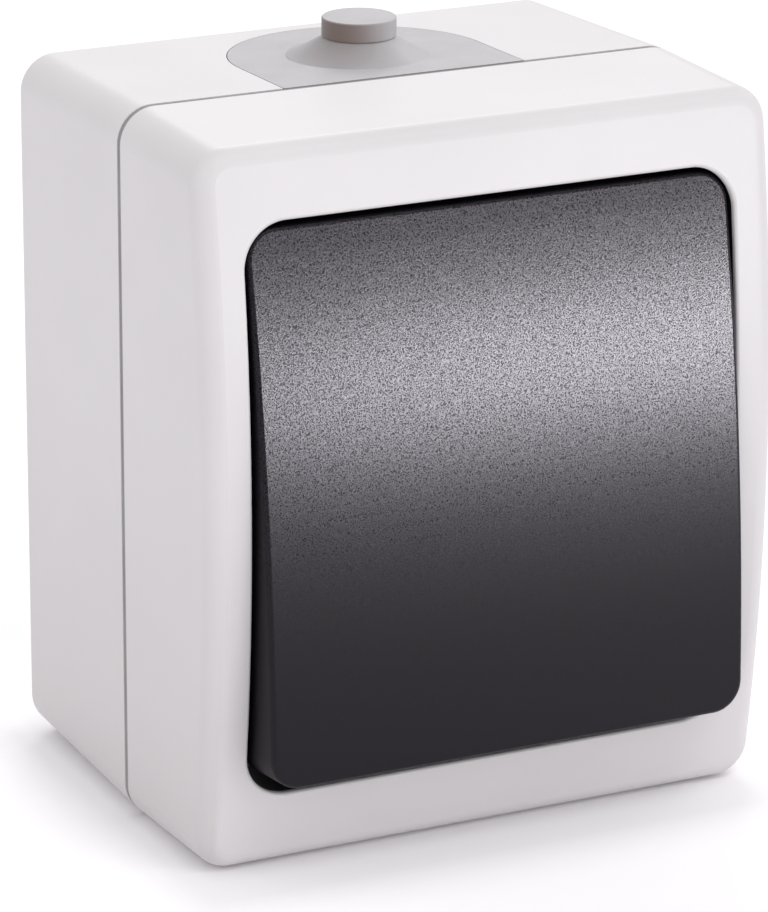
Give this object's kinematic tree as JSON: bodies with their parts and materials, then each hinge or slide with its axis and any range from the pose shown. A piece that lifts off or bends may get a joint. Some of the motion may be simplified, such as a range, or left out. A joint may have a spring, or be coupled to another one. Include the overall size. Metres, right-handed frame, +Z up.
{
  "type": "outdoor weatherproof switch",
  "caption": "Surface-mounted weatherproof rocker switch: white drafted box and crowned cover, grey seam gasket and top cable gland, large dark grained rocker in a black lined opening.",
  "frame": {"origin": "middle of the wall face, where the back of the rear box meets the wall", "axes": "+Y into the wall, +Z up towards the cable gland, +X to the right seen from the front"},
  "size_m": [0.0634, 0.0514, 0.0788],
  "materials": {
    "housing_white": "satin moulded",
    "gasket_grey": "matte",
    "gland_grey": "matte",
    "lining_black": "matte",
    "rocker_dark": "fine spark-eroded grain",
    "insert_plastic": "moulded",
    "contact_brass": "stamped",
    "contact_silver": "pressed",
    "screw_steel": "zinc plated"
  },
  "bodies": {
    "housing": {"rear_box": "housing_white", "front_cover": "housing_white", "box_gasket": "gasket_grey", "cable_gland": "gland_grey", "rocker_seal": "lining_black", "cover_screw_seals": "lining_black", "insert_base": "insert_plastic", "insert_top": "insert_plastic", "common_bracket": "contact_brass", "upper_fixed_contact": "contact_brass", "lower_fixed_contact": "contact_brass", "common_terminal": "contact_brass", "upper_terminal": "contact_brass", "lower_terminal": "contact_brass", "fixed_contact_tips": "contact_silver", "cover_screws": "screw_steel", "device_screws": "screw_steel", "insert_screws": "screw_steel", "terminal_screws": "screw_steel"},
    "rocker": {"rocker": "rocker_dark", "rocker_cradle": "insert_plastic", "plunger_spring": "screw_steel"},
    "plunger": {"contact_plunger": "insert_plastic"},
    "blade": {"contact_blade": "contact_brass", "moving_contact_tips": "contact_silver"}
  },
  "joints": [
    {"name": "rocker_tilt", "type": "hinge", "parent": "housing", "child": "rocker", "pos_m": [0, -0.0394, 0.0002], "axis": [1, 0, 0], "range_deg": [0, 12.34]},
    {"name": "plunger_slide", "type": "slide", "parent": "rocker", "child": "plunger", "axis": [0, -0.9942, 0.1075], "range_m": [0, 0.0012], "stiffness_N_per_m": 800, "deforming": ["plunger_spring"]},
    {"name": "blade_tilt", "type": "hinge", "parent": "housing", "child": "blade", "pos_m": [0, -0.02555, 0.0002], "axis": [1, 0, 0], "range_deg": [-8, 0]}
  ],
  "couplings": [
    {"joint": "blade_tilt", "follows": "rocker_tilt", "ratio": -0.648}
  ]
}
